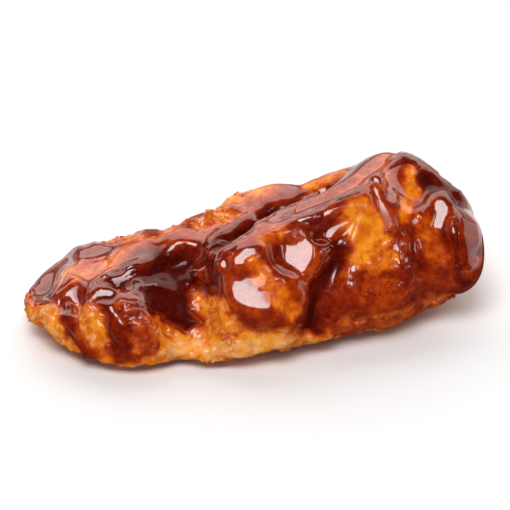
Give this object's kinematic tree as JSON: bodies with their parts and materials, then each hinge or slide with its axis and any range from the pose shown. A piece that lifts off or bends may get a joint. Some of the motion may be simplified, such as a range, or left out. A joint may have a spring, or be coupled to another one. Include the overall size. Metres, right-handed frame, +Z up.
{
  "type": "glazed chicken tender",
  "caption": "Single fried chicken tender coated in a dark glossy sauce, lying on its flat underside.",
  "frame": {"origin": "centre of the bounding box's bottom face, on the level spot that the tender rests on", "axes": "+X runs from the narrow end to the thick end, +Z is up, and the fuller, more glazed flank faces -Y"},
  "size_m": [0.1042, 0.0476, 0.0321],
  "materials": {
    "glazed_crust": "fried batter crust, golden brown where bare, under a thick glossy dark red-brown glaze"
  },
  "bodies": {
    "root": {"tender": "glazed_crust"}
  },
  "joints": []
}
